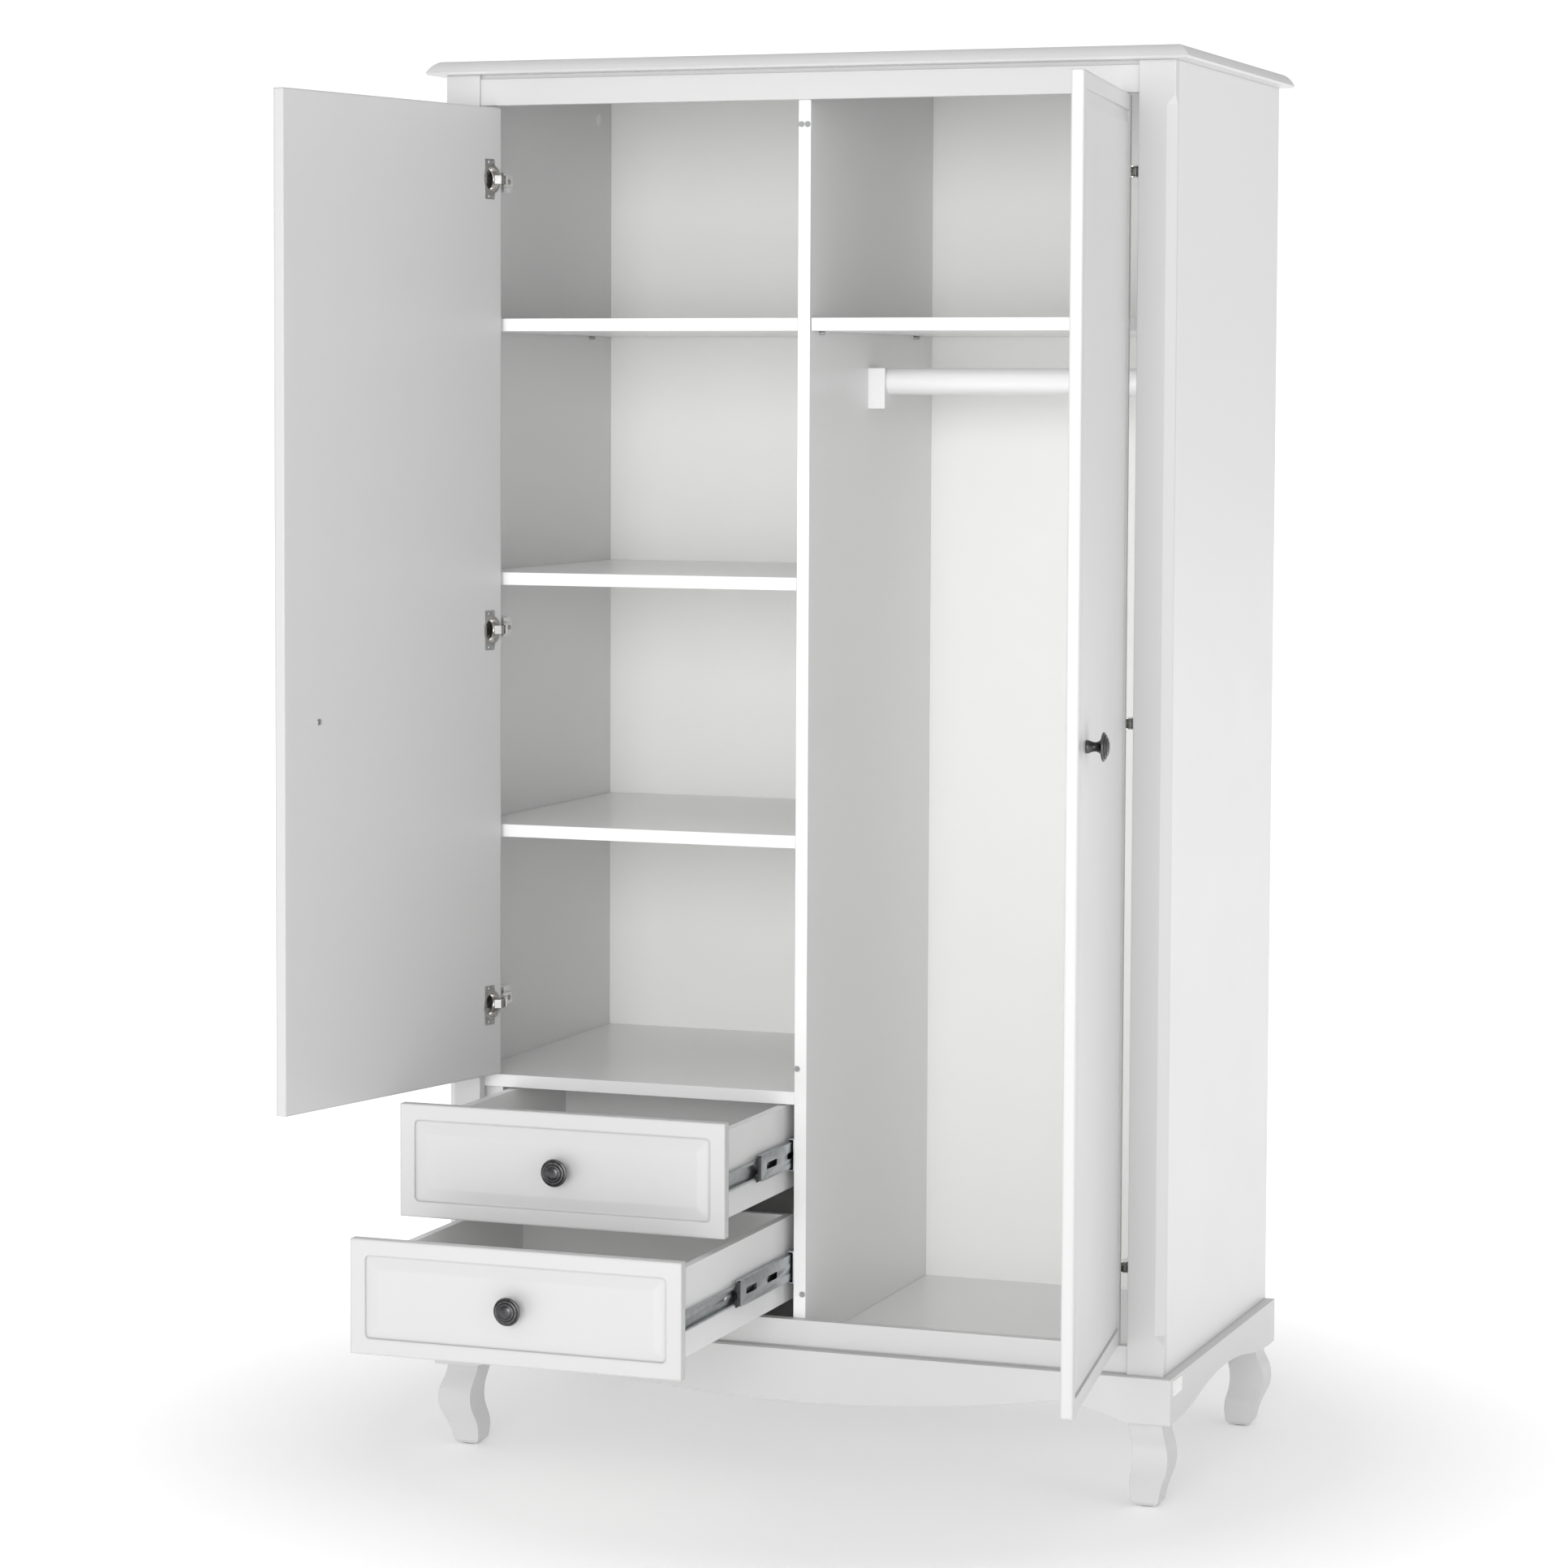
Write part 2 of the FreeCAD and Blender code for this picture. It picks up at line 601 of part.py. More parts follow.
# --------------------------------------------------------------------- routed front
def routed_front(body, x0, x1, z0, z1):
    """Board with a routed frame: a small step down from the flat border, then a
    long slope back up to the raised field."""
    x0, x1 = low_high(x0, x1)
    add_block(body, x0, x1, face, face + s.door_thickness, z0, z1)
    ease(body)
    border = s.front_border
    field = border + s.front_slope
    groove = (x0 + border, x1 - border, z0 + border, z1 - border, s.groove_corner)
    raised = (x0 + field, x1 - field, z0 + field, z1 - field, s.groove_corner / 3)
    extrude(body, "XZ_Plane", face, face + s.front_groove, draw_rounded, *groove, cut=True)
    loft(body, "XZ_Plane", [(face + s.front_groove, draw_rounded, *groove),
                            (face, draw_rounded, *raised)])


def knob_shape(body, x, z):
    """Mushroom knob turned about an axis square to the front."""
    base = s.knob_base
    neck = s.knob_neck
    head = s.knob_radius
    reach = s.knob_length
    sketch = new_sketch(body, "XY_Plane", z)
    draw_outline(sketch, [
        (x, face), (x + base, face), (x + base, face - 2), (x + neck, face - 5),
        (x + neck, face - reach * 0.55), (x + head, face - reach * 0.72),
        (x + head, face - reach * 0.82), (x + head * 0.62, face - reach * 0.95),
        (x, face - reach)])
    axis = sketch.addGeometry(Part.LineSegment(vector(x, face), vector(x, face - reach)), True)
    pin_point(sketch, axis, 1, x, face)
    pin_point(sketch, axis, 2, x, face - reach)
    turned = body.newObject("PartDesign::Revolution", body.Name + "_turned")
    turned.Profile = sketch
    turned.ReferenceAxis = (sketch, ["Axis0"])
    turned.Angle = 360
    doc.recompute()


# -------------------------------------------------------------------------- doors
axis_x = opening - s.axis_in
axis_y = face + s.door_thickness - s.axis_ahead
door_back = face + s.door_thickness
cup_x = door_hinge_edge - s.cup_in
hinge_screw_up = s.flange_length / 2 - s.hinge_screw_in
hinge_blocks = make_body("hinge_blocks")
arms = make_body("hinge_arms")
for side, name, low, angle in ((-1, "left", left_door_low, s.left_door_open),
                               (1, "right", right_door_low, s.right_door_open)):
    knob_x = (door_free_edge + s.knob_in) * side
    middle = (low + door_top) / 2
    if side < 0:
        middle = shelf_tops[1] - s.board_thickness - s.hinge_middle_drop
    hinge_levels = [low + s.hinge_end, middle, door_top - s.hinge_end]
    ear_far = (cup_x - s.cup_radius) * side
    ear_near = (cup_x - s.cup_radius + s.flange_width) * side
    screw_x = (ear_far + ear_near) / 2

    panel = make_body(name + "_door_panel")
    routed_front(panel, door_hinge_edge * side, door_free_edge * side, low, door_top)
    cut_rod(panel, "XZ_Plane", face - 1, door_back + 1, knob_x, s.knob_height, s.screw_radius)
    cups = make_body(name + "_hinge_cups")
    links = make_body(name + "_hinge_links")
    for level in hinge_levels:
        cut_rod(panel, "XZ_Plane", door_back - s.cup_depth, door_back + 1, cup_x * side, level,
                s.cup_radius)
        add_rod(cups, "XZ_Plane", door_back - s.cup_depth, door_back, cup_x * side, level,
                s.cup_radius)
        add_rod(cups, "XZ_Plane", door_back, door_back + s.flange_thickness, cup_x * side, level,
                s.cup_radius + 2)
        add_block(cups, ear_far, ear_near, door_back, door_back + s.flange_thickness,
                  level - s.flange_length / 2, level + s.flange_length / 2)
        for up in (-hinge_screw_up, hinge_screw_up):
            cut_rod(panel, "XZ_Plane", door_back - s.screw_reach, door_back + 1, screw_x,
                    level + up, s.screw_radius)
            add_rod(cups, "XZ_Plane", door_back - s.screw_reach, door_back + s.flange_thickness,
                    screw_x, level + up, s.screw_radius)
            add_rod(cups, "XZ_Plane", door_back + s.flange_thickness,
                    door_back + s.flange_thickness + s.head_height, screw_x, level + up,
                    s.hinge_head)
    for level in hinge_levels:
        cut_rod(cups, "XZ_Plane", door_back - s.cup_depth + s.cup_wall,
                door_back + s.flange_thickness + 1, cup_x * side, level,
                s.cup_radius - s.cup_wall)

    def from_axis(points):
        return [(axis_x * side - x * side, axis_y + y) for x, y in points]

    # The link swings half as far as the door: from the arm round the door's back
    # edge and down into the cup.
    for level in hinge_levels:
        extrude(links, "XY_Plane", level - s.link_height / 2, level + s.link_height / 2,
                draw_outline, from_axis([(-1, 18), (-1, 20), (8, 19.6), (12.2, 14.8),
                                         (12.6, 5.4), (11, 4.6), (10.4, 13.8), (6.8, 17.6)]))

    # Spacer block flush with the post, a plate on it, and over the plate a channel arm
    # whose cheeks reach forward round the link's inner end.
    plate_face = (opening - s.plate_thickness) * side
    arm_face = (opening - s.plate_thickness - s.arm_depth) * side
    half_arm = s.link_height / 2 + s.fit_gap + s.arm_wall
    half_plate = s.hinge_block_height / 2 - 1
    cheek = [(-9, 24), (-9, 42), (1.5, 42), (10, 32), (17.5, 23), (17.5, 14), (14.5, 14),
             (10, 17.6), (0, 20.2), (-5, 20.6)]
    cheek_lid = [(1.5, 42), (10, 32), (17.5, 23), (16.3, 22.1), (8.9, 31), (0.3, 41.2)]
    for level in hinge_levels:
        add_block(hinge_blocks, opening * side, inner_side * side, frame_back,
                  frame_back + s.hinge_block_length, level - s.hinge_block_height / 2,
                  level + s.hinge_block_height / 2)
        add_block(arms, opening * side, plate_face, axis_y + s.plate_start,
                  axis_y + s.plate_start + s.plate_length, level - half_plate, level + half_plate)
        add_block(arms, plate_face, arm_face, axis_y + s.arm_start,
                  axis_y + s.arm_start + s.arm_length, level - half_arm, level + half_arm)
        for end in (-1, 1):
            extrude(arms, "XY_Plane", level + half_arm * end,
                    level + (half_arm - s.arm_wall) * end, draw_outline, from_axis(cheek))
        extrude(arms, "XY_Plane", level - half_arm, level + half_arm, draw_outline,
                from_axis(cheek_lid))

    knob = make_body(name + "_door_knob")
    knob_shape(knob, knob_x, s.knob_height)
    cut_rod(knob, "XZ_Plane", face - s.screw_reach, face + 1, knob_x, s.knob_height, s.screw_radius)
    screw = make_body(name + "_knob_screw")
    add_rod(screw, "XZ_Plane", face - s.screw_reach, door_back, knob_x, s.knob_height, s.screw_radius)
    add_rod(screw, "XZ_Plane", door_back, door_back + s.head_height, knob_x, s.knob_height,
            s.screw_head)

    for piece in (panel, cups, knob, screw):
        swing(piece, side, angle)
    swing(links, side, angle / 2)

bumpers = make_body("door_bumpers")
for side, low in ((-1, left_door_low), (1, right_door_low)):
    for level in (low + s.bumper_in, door_top - s.bumper_in):
        add_rod(bumpers, "XZ_Plane", frame_back - s.bumper_height, frame_back,
                half_board / 2 * side, level, s.bumper_radius)

# ------------------------------------------------------------------------ drawers
runner_room = s.runner_thickness + s.runner_play
box_left = -(packer_face - runner_room)
box_right = -(half_board + runner_room)
box_front = door_back
box_rear = box_front + s.box_length
runner_start = frame_back + s.fit_gap
cabinet_members = make_body("runner_cabinet_members")


def runner_channel(body, wall, inwards, start, base, mouth, half_height, level):
    """Steel channel along the drawer: a flat base and two flanges."""
    steel = s.runner_steel
    end = start + s.runner_length
    step = steel if number_of(mouth) > number_of(base) else -steel
    add_block(body, wall + base * inwards, wall + (base + step) * inwards, start, end,
              level - half_height, level + half_height)
    for flange in (-1, 1):
        edge = level + half_height * flange
        add_block(body, wall + base * inwards, wall + mouth * inwards, start, end,
                  edge, edge - steel * flange)


for name, front_top, out in (("lower", front_tops[0], s.lower_drawer_out),
                             ("upper", front_tops[1], s.upper_drawer_out)):
    front_low = front_top - s.drawer_front_height
    box_top = front_top - s.board_thickness - s.box_clearance
    box_low = box_top - s.box_height
    runner_level = box_low + s.runner_up
    floor_low = box_low + s.box_bottom_up
    floor_high = floor_low + s.box_bottom
    tongue = s.box_side / 2

    front = make_body(name + "_drawer_front")
    routed_front(front, -door_hinge_edge, -door_free_edge, front_low, front_top)
    sides = make_body(name + "_drawer_sides")
    for start in (box_left, box_right - s.box_side):
        add_block(sides, start, start + s.box_side, box_front, box_rear, box_low, box_top)
    ease(sides)
    cut_block(sides, box_left + s.box_side - tongue, box_right - s.box_side + tongue,
              box_front - 1, box_rear + 1, floor_low, floor_high)
    back = board(name + "_drawer_back", box_left + s.box_side, box_right - s.box_side,
                 box_rear - s.box_side, box_rear, floor_high, box_top)
    floor = make_body(name + "_drawer_bottom")
    add_block(floor, box_left + s.box_side - tongue, box_right - s.box_side + tongue,
              box_front, box_rear, floor_low, floor_high)
    knob = make_body(name + "_drawer_knob")
    knob_shape(knob, -(door_hinge_edge + door_free_edge) / 2, (front_low + front_top) / 2)

    members = make_body(name + "_runner_drawer_members")
    middles = make_body(name + "_runner_middle_members")
    for wall, inwards in ((-packer_face, 1), (-half_board, -1)):
        half = s.runner_height / 2
        steel = s.runner_steel
        runner_channel(cabinet_members, wall, inwards, runner_start, zero,
                       s.runner_thickness * 0.7, half, runner_level)
        runner_channel(middles, wall, inwards, runner_start, s.runner_thickness * 0.3,
                       s.runner_thickness * 0.85, half - steel * 3, runner_level)
        runner_channel(members, wall, inwards, runner_start, runner_room,
                       s.runner_thickness * 0.5, half - steel * 7, runner_level)
    for piece in (front, sides, back, floor, knob, members):
        slide(piece, out)
    slide(middles, out / 2)

# Packing that brings the left runners in, clear of the post.
packer = make_body("runner_packer")
packer_start = frame_back + s.packer_front
packer_end = frame_back + s.runner_length + s.packer_front
packer_back = packer_face + s.packer_board
packer_high = drawer_shelf_top - s.board_thickness
add_block(packer, -packer_back, -packer_face, packer_start, packer_end, plinth_top, packer_high)
for start in (packer_start, packer_end - s.packer_batten):
    add_block(packer, -inner_side, -packer_back, start, start + s.packer_batten, plinth_top, packer_high)

# --------------------------------------------------------------- check and export
doc.recompute()
for item in doc.Objects:
    assert "Invalid" not in item.State and "Error" not in item.State, item.Label
for node in nodes:
    assert not node.Shape.isNull() and node.Shape.isValid(), node.Label
    assert node.Shape.Solids, node.Label

os.makedirs("parts", exist_ok=True)
for node in nodes:
    node.Shape.exportStep(os.path.join("parts", node.Label + ".step"))
    box = node.Shape.BoundBox
    print("%-28s %2d solids  %8.1f cm3  x %.1f..%.1f  y %.1f..%.1f  z %.1f..%.1f" % (
        node.Label, len(node.Shape.Solids), node.Shape.Volume / 1000, box.XMin, box.XMax,
        box.YMin, box.YMax, box.ZMin, box.ZMax))
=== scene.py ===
import math
import bpy
from mathutils import Matrix, Vector


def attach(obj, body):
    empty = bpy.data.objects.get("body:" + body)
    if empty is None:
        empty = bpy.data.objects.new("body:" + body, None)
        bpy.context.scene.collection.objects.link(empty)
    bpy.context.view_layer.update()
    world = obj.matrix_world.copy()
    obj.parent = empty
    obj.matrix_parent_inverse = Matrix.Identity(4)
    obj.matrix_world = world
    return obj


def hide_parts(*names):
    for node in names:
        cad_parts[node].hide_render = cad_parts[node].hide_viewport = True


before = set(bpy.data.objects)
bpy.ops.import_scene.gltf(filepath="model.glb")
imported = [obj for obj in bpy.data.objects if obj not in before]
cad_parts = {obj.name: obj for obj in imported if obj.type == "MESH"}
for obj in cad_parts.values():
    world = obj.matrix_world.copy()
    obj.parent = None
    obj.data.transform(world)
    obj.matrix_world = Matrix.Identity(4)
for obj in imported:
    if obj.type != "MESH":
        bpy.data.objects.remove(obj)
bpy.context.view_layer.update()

# ------------------------------------------------------- lacquered front and plinth
# The doors, drawer fronts, posts, rails, plinth, legs and top board are fibreboard
# milled to shape and sprayed with a white satin lacquer, the milled edges eased by
# sanding before the spray.


def colour(text):
    """sRGB hex to the linear values that a shader takes."""
    parts = [int(text[start:start + 2], 16) / 255 for start in (1, 3, 5)]
    return [p / 12.92 if p <= 0.04045 else ((p + 0.055) / 1.055) ** 2.4 for p in parts] + [1]


def new_material(name, base, roughness, **more):
    """A material whose shader has these settings, with its tree, shader and object
    coordinates."""
    made = bpy.data.materials.new(name)
    made.use_nodes = True
    tree = made.node_tree
    shader = tree.nodes["Principled BSDF"]
    shader.inputs["Base Color"].default_value = colour(base)
    shader.inputs["Roughness"].default_value = roughness
    for socket, value in more.items():
        shader.inputs[socket.replace("_", " ")].default_value = value
    place = tree.nodes.new("ShaderNodeTexCoord")
    return made, tree, shader, place


def add_node(tree, kind, links, **settings):
    """Add a node, set its properties and sockets, and link sources to its sockets."""
    made = tree.nodes.new(kind)
    for name, value in settings.items():
        if hasattr(made, name):
            setattr(made, name, value)
        else:
            made.inputs[name.replace("_", " ")].default_value = value
    for socket, source in links.items():
        tree.links.new(source, made.inputs[socket])
    return made


def sprayed_lacquer(name, base, roughness, edge):
    """Satin sprayed lacquer: a faint orange peel about 3 mm across, drawn coarser
    than the real 1 mm so that it shows, edges rounded by sanding to this radius, and
    slight sheen changes."""
    made, tree, shader, place = new_material(name, base, roughness, Coat_Weight=0.12,
                                             Coat_Roughness=0.3)
    peel_size = 0.003
    peel = add_node(tree, "ShaderNodeTexNoise", {"Vector": place.outputs["Object"]},
                    Scale=1 / peel_size, Detail=2.0)
    soft = add_node(tree, "ShaderNodeBevel", {}, samples=6, Radius=edge)
    bump = add_node(tree, "ShaderNodeBump", {"Height": peel.outputs["Fac"],
                                             "Normal": soft.outputs["Normal"]},
                    Strength=0.05, Distance=0.0002)
    tree.links.new(bump.outputs["Normal"], shader.inputs["Normal"])
    sheen_patch = 0.18
    patches = add_node(tree, "ShaderNodeTexNoise", {"Vector": place.outputs["Object"]},
                       Scale=1 / sheen_patch, Detail=3.0)
    gloss = add_node(tree, "ShaderNodeMapRange", {"Value": patches.outputs["Fac"]},
                     From_Min=0.3, From_Max=0.7,
                     To_Min=roughness - 0.03, To_Max=roughness + 0.04)
    tree.links.new(gloss.outputs["Result"], shader.inputs["Roughness"])
    return made


def dress(material, *names):
    """Give CAD nodes this material in all their slots."""
    for name in names:
        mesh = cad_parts[name].data
        mesh.materials.clear()
        mesh.materials.append(material)


lacquer = sprayed_lacquer("white satin lacquer", "#CFCFCF", 0.34, 0.0012)
routed_lacquer = sprayed_lacquer("white lacquer on routed board", "#CECECE", 0.34, 0.005)
board_lacquer = sprayed_lacquer("white lacquer on flat board", "#DDDDDD", 0.34, 0.0012)
dress(routed_lacquer, "left_door_panel", "right_door_panel", "upper_drawer_front",
      "lower_drawer_front")
dress(lacquer, "left_front_post", "right_front_post", "header_rail", "bottom_rail", "top_board",
      "front_apron", "left_apron", "right_apron", "rear_apron", "plinth_corner_blocks",
      "front_left_leg", "front_right_leg", "rear_left_leg", "rear_right_leg")
dress(board_lacquer, "left_side_panel", "right_side_panel")

# ---------------------------------------------------------- melamine carcass boards
# The divider, shelves, bottom, hinge blocks and drawer boxes are chipboard faced with
# white melamine paper.  Every face turned to the front is made a little glossier and
# painted lighter, a painted highlight for the lamps ahead.


def melamine_board(name, face_colour, front_lit_colour):
    made, tree, shader, place = new_material(name, face_colour, 0.26)
    pore_size = 0.004
    pores = add_node(tree, "ShaderNodeTexNoise", {"Vector": place.outputs["Object"]},
                     Scale=1 / pore_size, Detail=4.0)
    soft = add_node(tree, "ShaderNodeBevel", {}, samples=4, Radius=0.0007)
    bump = add_node(tree, "ShaderNodeBump", {"Height": pores.outputs["Fac"],
                                             "Normal": soft.outputs["Normal"]},
                    Strength=0.08, Distance=0.0002)
    tree.links.new(bump.outputs["Normal"], shader.inputs["Normal"])
    # Painted highlight: faces whose normal points to the front, towards the lamps, get the
    # lighter colour and less roughness.
    way = add_node(tree, "ShaderNodeSeparateXYZ", {"Vector": place.outputs["Normal"]})
    front_lit_mask = add_node(tree, "ShaderNodeMapRange", {"Value": way.outputs["Y"]},
                    From_Min=-0.9, From_Max=-0.7, To_Min=1.0, To_Max=0.0)
    tint = add_node(tree, "ShaderNodeMix", {"Factor": front_lit_mask.outputs["Result"]}, data_type="RGBA")
    tint.inputs["A"].default_value = colour(face_colour)
    tint.inputs["B"].default_value = colour(front_lit_colour)
    tree.links.new(tint.outputs["Result"], shader.inputs["Base Color"])
    gloss = add_node(tree, "ShaderNodeMapRange", {"Value": front_lit_mask.outputs["Result"]},
                     To_Min=0.26, To_Max=0.2)
    tree.links.new(gloss.outputs["Result"], shader.inputs["Roughness"])
    return made


# The second colour is the painted highlight on the faces turned to the front.
melamine = melamine_board("white melamine board", "#EFEFEF", "#F4F4F4")
dress(melamine, "centre_divider", "bottom_panel", "lower_left_shelf", "middle_left_shelf",
      "upper_left_shelf", "drawer_top_shelf", "right_shelf", "hinge_blocks", "runner_packer",
      "upper_drawer_sides", "upper_drawer_back", "lower_drawer_sides", "lower_drawer_back",
      "clothes_rail", "rail_blocks")

# ------------------------------------------------------------ back and drawer bottoms
# Thin hardboard, painted white on the face.  The pressed fibres leave a faint dimpled
# skin under the paint.  The boards slide into grooves and need no other fixing.
hardboard, tree, shader, place = new_material("white painted hardboard", "#F8F8F7", 0.48)
fibre_size = 0.005
fibres = add_node(tree, "ShaderNodeTexNoise", {"Vector": place.outputs["Object"]},
                  Scale=1 / fibre_size, Detail=5.0)
dimples = add_node(tree, "ShaderNodeBump", {"Height": fibres.outputs["Fac"]},
                   Strength=0.12, Distance=0.0003)
tree.links.new(dimples.outputs["Normal"], shader.inputs["Normal"])
cloud_size = 0.35
clouds = add_node(tree, "ShaderNodeTexNoise", {"Vector": place.outputs["Object"]},
                  Scale=1 / cloud_size, Detail=3.0)
paint = add_node(tree, "ShaderNodeMix", {"Factor": clouds.outputs["Fac"]}, data_type="RGBA")
paint.inputs["A"].default_value = colour("#FBFBFA")
paint.inputs["B"].default_value = colour("#F6F6F4")
tree.links.new(paint.outputs["Result"], shader.inputs["Base Color"])
dress(hardboard, "back_panel", "upper_drawer_bottom", "lower_drawer_bottom")

# --------------------------------------------------------- shelf pins, cams, brackets
# Pressed and turned steel with a bright zinc plating.  The plating dries in soft
# patches, and the strip carries fine rolling lines along its length.


def plated_steel(name, base, darker, roughness, line_size):
    """Plated strip steel: dull patches about 12 mm across and fine rolling lines
    along Y, drawn at line_size so that they show."""
    made, tree, shader, place = new_material(name, base, roughness, Metallic=1.0)
    patch_size = 0.012
    patches = add_node(tree, "ShaderNodeTexNoise", {"Vector": place.outputs["Object"]},
                       Scale=1 / patch_size, Detail=3.0)
    tint = add_node(tree, "ShaderNodeMix", {"Factor": patches.outputs["Fac"]}, data_type="RGBA")
    tint.inputs["A"].default_value = colour(base)
    tint.inputs["B"].default_value = colour(darker)
    tree.links.new(tint.outputs["Result"], shader.inputs["Base Color"])
    gloss = add_node(tree, "ShaderNodeMapRange", {"Value": patches.outputs["Fac"]},
                     To_Min=roughness - 0.08, To_Max=roughness + 0.1)
    tree.links.new(gloss.outputs["Result"], shader.inputs["Roughness"])
    along = add_node(tree, "ShaderNodeMapping", {"Vector": place.outputs["Object"]},
                     Scale=(1, 0.02, 1))
    rolled = add_node(tree, "ShaderNodeTexNoise", {"Vector": along.outputs["Vector"]},
                      Scale=1 / line_size, Detail=2.0)
    soft = add_node(tree, "ShaderNodeBevel", {}, samples=4, Radius=0.0004)
    lines = add_node(tree, "ShaderNodeBump", {"Height": rolled.outputs["Fac"],
                                              "Normal": soft.outputs["Normal"]},
                     Strength=0.12, Distance=0.0002)
    tree.links.new(lines.outputs["Normal"], shader.inputs["Normal"])
    return made


zinc = plated_steel("zinc plated steel", "#C3C6C8", "#A3A7AA", 0.34, 0.0016)
dress(zinc, "wall_brackets", "cam_fittings", "shelf_supports")

# ---------------------------------------------------------------- caps and foot glides
# Injection moulded plastic.  The white caps over the cams are glossy, and the glides
# under the feet and the small door bumpers have the matt skin of a sparked mould.


def moulded_plastic(name, base, roughness, grain, **more):
    """Moulded plastic with a skin grain of this size."""
    made, tree, shader, place = new_material(name, base, roughness, **more)
    skin = add_node(tree, "ShaderNodeTexNoise", {"Vector": place.outputs["Object"]},
                    Scale=1 / grain, Detail=2.0)
    soft = add_node(tree, "ShaderNodeBevel", {}, samples=4, Radius=0.0004)
    bump = add_node(tree, "ShaderNodeBump", {"Height": skin.outputs["Fac"],
                                             "Normal": soft.outputs["Normal"]},
                    Strength=0.1, Distance=0.0002)
    tree.links.new(bump.outputs["Normal"], shader.inputs["Normal"])
    gloss = add_node(tree, "ShaderNodeMapRange", {"Value": skin.outputs["Fac"]},
                     To_Min=roughness - 0.05, To_Max=roughness + 0.08)
    tree.links.new(gloss.outputs["Result"], shader.inputs["Roughness"])
    return made


white_plastic = moulded_plastic("white moulded plastic", "#F0F0EF", 0.28, 0.004)
dark_plastic = moulded_plastic("black moulded plastic", "#1D1D1F", 0.42, 0.002)
grey_plastic = moulded_plastic("grey moulded plastic", "#9C9C9A", 0.45, 0.002)
clear_rubber = moulded_plastic("clear soft rubber", "#E4E6E6", 0.3, 0.003,
                               Transmission_Weight=0.6)
dress(white_plastic, "cam_covers")
dress(grey_plastic, "foot_glides")
dress(clear_rubber, "door_bumpers")

# ------------------------------------------------------------------------ blank plate
# A blank white plate on the right of the plinth, near the front.  It is a stiff
# plastic card with a raised rim, stuck on.


def only(piece):
    """Leave this piece alone selected and active."""
    if bpy.context.mode != "OBJECT":
        bpy.ops.object.mode_set(mode="OBJECT")
    bpy.ops.object.select_all(action="DESELECT")
    piece.select_set(True)
    bpy.context.view_layer.objects.active = piece


def block(name, low, high):
    """A block between two corners in millimetres, as the start of a piece."""
    bpy.ops.object.select_all(action="DESELECT")
    size = [(b - a) / 1000 for a, b in zip(low, high)]
    middle = [(a + b) / 2000 for a, b in zip(low, high)]
    bpy.ops.mesh.primitive_cube_add(size=1, location=middle, scale=size)
    piece = bpy.context.object
    piece.name = name
    bpy.ops.object.transform_apply(location=True, rotation=True, scale=True)
    return piece


def pick_faces(piece, chosen):
    """In edit mode on this piece, select only the faces that chosen(middle, normal)
    picks, with the middle in millimetres."""
    only(piece)
    for part in list(piece.data.vertices) + list(piece.data.edges) + list(piece.data.polygons):
        part.select = False
    for face in piece.data.polygons:
        face.select = bool(chosen(face.center * 1000, face.normal))
    bpy.ops.object.mode_set(mode="EDIT")
    bpy.ops.mesh.select_mode(type="FACE")


def soften(piece, width, material, sharp=35):
    """Round the edges, shade the rounds smooth and put on the finish."""
    only(piece)
    rounding = piece.modifiers.new("rounding", "BEVEL")
    rounding.width = width / 1000
    rounding.segments = 2
    rounding.limit_method = "ANGLE"
    rounding.angle_limit = math.radians(sharp)
    rounding.use_clamp_overlap = True
    bpy.ops.object.modifier_apply(modifier="rounding")
    bpy.ops.object.shade_smooth_by_angle(angle=math.radians(sharp))
    piece.data.materials.clear()
    piece.data.materials.append(material)


plinth_side, card = 545.9, 0.8
plate = block("blank_plate", (plinth_side, -288, 158), (plinth_side + card, -241, 179))
pick_faces(plate, lambda middle, normal: normal.x > 0.9)
bpy.ops.mesh.inset(thickness=0.0016)
bpy.ops.transform.translate(value=(-0.0004, 0, 0))
bpy.ops.object.mode_set(mode="OBJECT")
soften(plate, 0.2, white_plastic)
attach(plate, "cabinet")

# ------------------------------------------------------------------------------- knobs
# Mushroom knobs cast in a white metal, turned with two rings and a domed button,
# blackened and rubbed back.  A screw from behind the front holds each one.
antique, tree, shader, place = new_material("antiqued pewter", "#464647", 0.3, Metallic=1.0)
worn_size = 0.006
worn = add_node(tree, "ShaderNodeTexNoise", {"Vector": place.outputs["Object"]},
                Scale=1 / worn_size, Detail=4.0)
surface = add_node(tree, "ShaderNodeNewGeometry", {})
crowns = add_node(tree, "ShaderNodeMapRange", {"Value": surface.outputs["Pointiness"]},
                  From_Min=0.46, From_Max=0.56)
mixed = add_node(tree, "ShaderNodeMath", {0: crowns.outputs["Result"], 1: worn.outputs["Fac"]},
                 operation="MULTIPLY")
patina = add_node(tree, "ShaderNodeMix", {"Factor": mixed.outputs["Value"]}, data_type="RGBA")
patina.inputs["A"].default_value = colour("#29292A")
patina.inputs["B"].default_value = colour("#8C8C8E")
tree.links.new(patina.outputs["Result"], shader.inputs["Base Color"])
gloss = add_node(tree, "ShaderNodeMapRange", {"Value": worn.outputs["Fac"]},
                 To_Min=0.22, To_Max=0.42)
tree.links.new(gloss.outputs["Result"], shader.inputs["Roughness"])
pits = add_node(tree, "ShaderNodeBump", {"Height": worn.outputs["Fac"]},
                Strength=0.15, Distance=0.0002)
tree.links.new(pits.outputs["Normal"], shader.inputs["Normal"])


